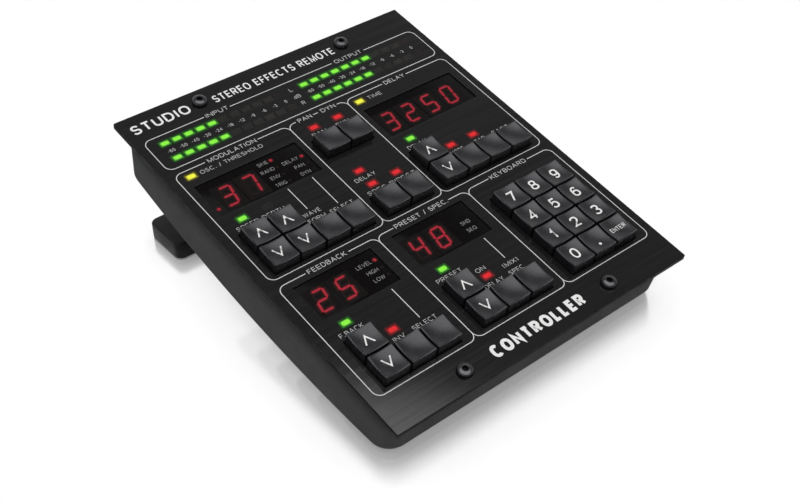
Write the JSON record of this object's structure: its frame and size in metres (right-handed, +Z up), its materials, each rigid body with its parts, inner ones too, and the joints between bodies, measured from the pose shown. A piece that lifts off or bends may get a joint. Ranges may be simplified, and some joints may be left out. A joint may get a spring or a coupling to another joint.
{
  "type": "effects controller",
  "caption": "Sloping desktop remote controller for an audio effects processor, with push keys, numeric displays, level meters, a rounded case and a rear stand.",
  "frame": {"origin": "on the table under the middle of the unit: centre of the bounding box in X and Y, bottom of the feet in Z", "axes": "+X to the right, +Y to the back, +Z up; the faceplate rises 10.6 degrees towards the back"},
  "size_m": [0.135, 0.1646, 0.0528],
  "materials": {
    "faceplate": "black anodised, brushed along its width, satin",
    "case": "satin moulded plastic, dark grey",
    "stand": "satin moulded plastic, near black",
    "rubber": "matt black rubber",
    "key": "fine satin moulded plastic, dark grey with white legends",
    "window": "smoked acrylic, glossy",
    "display": "dark display body with red segments",
    "light_guide": "translucent moulded light guide",
    "key_frame": "moulded plastic",
    "dome_mat": "grey silicone",
    "board": "green solder mask",
    "screw_black": "black oxide steel",
    "socket_steel": "plated steel"
  },
  "bodies": {
    "housing": {"faceplate": "faceplate", "case": "case", "stand": "stand", "stand_pad": "rubber", "front_foot_strip": "rubber", "main_board": "board", "dome_mat": "dome_mat", "key_guide_frame": "key_frame", "meter_light_guide": "light_guide", "indicator_light_guide": "light_guide", "usb_socket": "socket_steel", "window_modulation": "window", "window_delay": "window", "window_feedback": "window", "window_preset": "window", "digits_modulation": "display", "digits_delay": "display", "digits_feedback": "display", "digits_preset": "display", "panel_screw_rear_left": "screw_black", "panel_screw_rear_right": "screw_black", "panel_screw_front_left": "screw_black", "panel_screw_front_right": "screw_black", "stand_screw_left": "socket_steel", "stand_screw_right": "socket_steel"},
    "key_speed_up": {"key_speed_up": "key"},
    "key_depth_up": {"key_depth_up": "key"},
    "key_speed_down": {"key_speed_down": "key"},
    "key_depth_down": {"key_depth_down": "key"},
    "key_waveform": {"key_waveform": "key"},
    "key_mod_select": {"key_mod_select": "key"},
    "key_pan": {"key_pan": "key"},
    "key_dynamics": {"key_dynamics": "key"},
    "key_delay_special": {"key_delay_special": "key"},
    "key_delay_direct": {"key_delay_direct": "key"},
    "key_time_up": {"key_time_up": "key"},
    "key_time_down": {"key_time_down": "key"},
    "key_delay_mode": {"key_delay_mode": "key"},
    "key_tap": {"key_tap": "key"},
    "key_fast": {"key_fast": "key"},
    "key_feedback_up": {"key_feedback_up": "key"},
    "key_feedback_down": {"key_feedback_down": "key"},
    "key_invert": {"key_invert": "key"},
    "key_feedback_select": {"key_feedback_select": "key"},
    "key_preset_up": {"key_preset_up": "key"},
    "key_preset_down": {"key_preset_down": "key"},
    "key_bypass": {"key_bypass": "key"},
    "key_mix": {"key_mix": "key"},
    "key_7": {"key_7": "key"},
    "key_8": {"key_8": "key"},
    "key_9": {"key_9": "key"},
    "key_4": {"key_4": "key"},
    "key_5": {"key_5": "key"},
    "key_6": {"key_6": "key"},
    "key_1": {"key_1": "key"},
    "key_2": {"key_2": "key"},
    "key_3": {"key_3": "key"},
    "key_0": {"key_0": "key"},
    "key_point": {"key_point": "key"},
    "key_enter": {"key_enter": "key"}
  },
  "joints": [
    {"name": "key_speed_up_press", "type": "slide", "parent": "housing", "child": "key_speed_up", "axis": [0, 0.184, -0.9829], "range_m": [0, 0.001], "stiffness_N_per_m": 400, "springref_m": -0.0008},
    {"name": "key_depth_up_press", "type": "slide", "parent": "housing", "child": "key_depth_up", "axis": [0, 0.184, -0.9829], "range_m": [0, 0.001], "stiffness_N_per_m": 400, "springref_m": -0.0008},
    {"name": "key_speed_down_press", "type": "slide", "parent": "housing", "child": "key_speed_down", "axis": [0, 0.184, -0.9829], "range_m": [0, 0.001], "stiffness_N_per_m": 400, "springref_m": -0.0008},
    {"name": "key_depth_down_press", "type": "slide", "parent": "housing", "child": "key_depth_down", "axis": [0, 0.184, -0.9829], "range_m": [0, 0.001], "stiffness_N_per_m": 400, "springref_m": -0.0008},
    {"name": "key_waveform_press", "type": "slide", "parent": "housing", "child": "key_waveform", "axis": [0, 0.184, -0.9829], "range_m": [0, 0.001], "stiffness_N_per_m": 400, "springref_m": -0.0008},
    {"name": "key_mod_select_press", "type": "slide", "parent": "housing", "child": "key_mod_select", "axis": [0, 0.184, -0.9829], "range_m": [0, 0.001], "stiffness_N_per_m": 400, "springref_m": -0.0008},
    {"name": "key_pan_press", "type": "slide", "parent": "housing", "child": "key_pan", "axis": [0, 0.184, -0.9829], "range_m": [0, 0.001], "stiffness_N_per_m": 400, "springref_m": -0.0008},
    {"name": "key_dynamics_press", "type": "slide", "parent": "housing", "child": "key_dynamics", "axis": [0, 0.184, -0.9829], "range_m": [0, 0.001], "stiffness_N_per_m": 400, "springref_m": -0.0008},
    {"name": "key_delay_special_press", "type": "slide", "parent": "housing", "child": "key_delay_special", "axis": [0, 0.184, -0.9829], "range_m": [0, 0.001], "stiffness_N_per_m": 400, "springref_m": -0.0008},
    {"name": "key_delay_direct_press", "type": "slide", "parent": "housing", "child": "key_delay_direct", "axis": [0, 0.184, -0.9829], "range_m": [0, 0.001], "stiffness_N_per_m": 400, "springref_m": -0.0008},
    {"name": "key_time_up_press", "type": "slide", "parent": "housing", "child": "key_time_up", "axis": [0, 0.184, -0.9829], "range_m": [0, 0.001], "stiffness_N_per_m": 400, "springref_m": -0.0008},
    {"name": "key_time_down_press", "type": "slide", "parent": "housing", "child": "key_time_down", "axis": [0, 0.184, -0.9829], "range_m": [0, 0.001], "stiffness_N_per_m": 400, "springref_m": -0.0008},
    {"name": "key_delay_mode_press", "type": "slide", "parent": "housing", "child": "key_delay_mode", "axis": [0, 0.184, -0.9829], "range_m": [0, 0.001], "stiffness_N_per_m": 400, "springref_m": -0.0008},
    {"name": "key_tap_press", "type": "slide", "parent": "housing", "child": "key_tap", "axis": [0, 0.184, -0.9829], "range_m": [0, 0.001], "stiffness_N_per_m": 400, "springref_m": -0.0008},
    {"name": "key_fast_press", "type": "slide", "parent": "housing", "child": "key_fast", "axis": [0, 0.184, -0.9829], "range_m": [0, 0.001], "stiffness_N_per_m": 400, "springref_m": -0.0008},
    {"name": "key_feedback_up_press", "type": "slide", "parent": "housing", "child": "key_feedback_up", "axis": [0, 0.184, -0.9829], "range_m": [0, 0.001], "stiffness_N_per_m": 400, "springref_m": -0.0008},
    {"name": "key_feedback_down_press", "type": "slide", "parent": "housing", "child": "key_feedback_down", "axis": [0, 0.184, -0.9829], "range_m": [0, 0.001], "stiffness_N_per_m": 400, "springref_m": -0.0008},
    {"name": "key_invert_press", "type": "slide", "parent": "housing", "child": "key_invert", "axis": [0, 0.184, -0.9829], "range_m": [0, 0.001], "stiffness_N_per_m": 400, "springref_m": -0.0008},
    {"name": "key_feedback_select_press", "type": "slide", "parent": "housing", "child": "key_feedback_select", "axis": [0, 0.184, -0.9829], "range_m": [0, 0.001], "stiffness_N_per_m": 400, "springref_m": -0.0008},
    {"name": "key_preset_up_press", "type": "slide", "parent": "housing", "child": "key_preset_up", "axis": [0, 0.184, -0.9829], "range_m": [0, 0.001], "stiffness_N_per_m": 400, "springref_m": -0.0008},
    {"name": "key_preset_down_press", "type": "slide", "parent": "housing", "child": "key_preset_down", "axis": [0, 0.184, -0.9829], "range_m": [0, 0.001], "stiffness_N_per_m": 400, "springref_m": -0.0008},
    {"name": "key_bypass_press", "type": "slide", "parent": "housing", "child": "key_bypass", "axis": [0, 0.184, -0.9829], "range_m": [0, 0.001], "stiffness_N_per_m": 400, "springref_m": -0.0008},
    {"name": "key_mix_press", "type": "slide", "parent": "housing", "child": "key_mix", "axis": [0, 0.184, -0.9829], "range_m": [0, 0.001], "stiffness_N_per_m": 400, "springref_m": -0.0008},
    {"name": "key_7_press", "type": "slide", "parent": "housing", "child": "key_7", "axis": [0, 0.184, -0.9829], "range_m": [0, 0.001], "stiffness_N_per_m": 400, "springref_m": -0.0008},
    {"name": "key_8_press", "type": "slide", "parent": "housing", "child": "key_8", "axis": [0, 0.184, -0.9829], "range_m": [0, 0.001], "stiffness_N_per_m": 400, "springref_m": -0.0008},
    {"name": "key_9_press", "type": "slide", "parent": "housing", "child": "key_9", "axis": [0, 0.184, -0.9829], "range_m": [0, 0.001], "stiffness_N_per_m": 400, "springref_m": -0.0008},
    {"name": "key_4_press", "type": "slide", "parent": "housing", "child": "key_4", "axis": [0, 0.184, -0.9829], "range_m": [0, 0.001], "stiffness_N_per_m": 400, "springref_m": -0.0008},
    {"name": "key_5_press", "type": "slide", "parent": "housing", "child": "key_5", "axis": [0, 0.184, -0.9829], "range_m": [0, 0.001], "stiffness_N_per_m": 400, "springref_m": -0.0008},
    {"name": "key_6_press", "type": "slide", "parent": "housing", "child": "key_6", "axis": [0, 0.184, -0.9829], "range_m": [0, 0.001], "stiffness_N_per_m": 400, "springref_m": -0.0008},
    {"name": "key_1_press", "type": "slide", "parent": "housing", "child": "key_1", "axis": [0, 0.184, -0.9829], "range_m": [0, 0.001], "stiffness_N_per_m": 400, "springref_m": -0.0008},
    {"name": "key_2_press", "type": "slide", "parent": "housing", "child": "key_2", "axis": [0, 0.184, -0.9829], "range_m": [0, 0.001], "stiffness_N_per_m": 400, "springref_m": -0.0008},
    {"name": "key_3_press", "type": "slide", "parent": "housing", "child": "key_3", "axis": [0, 0.184, -0.9829], "range_m": [0, 0.001], "stiffness_N_per_m": 400, "springref_m": -0.0008},
    {"name": "key_0_press", "type": "slide", "parent": "housing", "child": "key_0", "axis": [0, 0.184, -0.9829], "range_m": [0, 0.001], "stiffness_N_per_m": 400, "springref_m": -0.0008},
    {"name": "key_point_press", "type": "slide", "parent": "housing", "child": "key_point", "axis": [0, 0.184, -0.9829], "range_m": [0, 0.001], "stiffness_N_per_m": 400, "springref_m": -0.0008},
    {"name": "key_enter_press", "type": "slide", "parent": "housing", "child": "key_enter", "axis": [0, 0.184, -0.9829], "range_m": [0, 0.001], "stiffness_N_per_m": 400, "springref_m": -0.0008}
  ]
}
